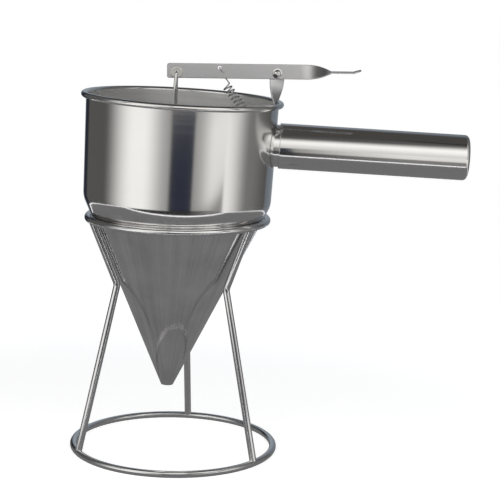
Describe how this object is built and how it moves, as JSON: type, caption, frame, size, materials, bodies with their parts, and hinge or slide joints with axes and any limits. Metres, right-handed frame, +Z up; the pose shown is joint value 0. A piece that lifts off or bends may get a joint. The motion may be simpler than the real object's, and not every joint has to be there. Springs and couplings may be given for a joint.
{
  "type": "pancake batter dispenser",
  "caption": "Polished steel batter funnel with a side handle and a thumb lever that lifts a plug off its outlet, standing in a three-legged wire stand.",
  "frame": {"origin": "centre of the stand's base ring, on the table", "axes": "+Z up, +X along the handle, away from the funnel; the funnel's own axis leans 2.05 degrees toward the handle"},
  "size_m": [0.2696, 0.1448, 0.2702],
  "materials": {
    "bright_wire": "drawn and electropolished wire",
    "polished_sheet": "mirror polish",
    "satin_sheet": "satin, brushed toward the outlet",
    "brushed_strip": "brushed lengthwise",
    "spring_wire": "bright spring wire"
  },
  "bodies": {
    "stand": {"stand_base_ring": "bright_wire", "stand_top_ring": "bright_wire", "stand_leg_rear": "bright_wire", "stand_leg_left": "bright_wire", "stand_leg_right": "bright_wire"},
    "hopper": {"hopper_bowl": "polished_sheet", "hopper_cone": "satin_sheet", "handle_neck": "polished_sheet", "handle_tube": "polished_sheet", "handle_end_cap": "polished_sheet", "pivot_post": "brushed_strip", "pivot_rivet": "polished_sheet", "pivot_washer": "polished_sheet"},
    "lever": {"lever": "brushed_strip"},
    "valve": {"valve_rod": "bright_wire", "valve_plug": "satin_sheet"},
    "spring": {"return_spring": "spring_wire"}
  },
  "joints": [
    {"name": "funnel_lift", "type": "slide", "parent": "stand", "child": "hopper", "axis": [0, 0, 1], "range_m": [0, 0.2]},
    {"name": "lever_press", "type": "hinge", "parent": "hopper", "child": "lever", "pos_m": [0.06543, 0, 0.26379], "axis": [0, 1, 0], "range_deg": [0, 12], "stiffness_Nm_per_rad": 0.6, "springref_deg": -5.73, "deforming": ["return_spring"]},
    {"name": "rod_swing", "type": "hinge", "parent": "lever", "child": "valve", "pos_m": [-0.00266, 0, 0.26278], "axis": [0, 1, 0], "range_deg": [-12.5, 0.5]},
    {"name": "spring_swing", "type": "hinge", "parent": "hopper", "child": "spring", "pos_m": [0.05899, 0.0014, 0.21759], "axis": [0, 1, 0], "range_deg": [-0.5, 5.5]}
  ],
  "couplings": [
    {"joint": "rod_swing", "follows": "lever_press", "ratio": -1},
    {"joint": "spring_swing", "follows": "lever_press", "ratio": 0.417}
  ]
}
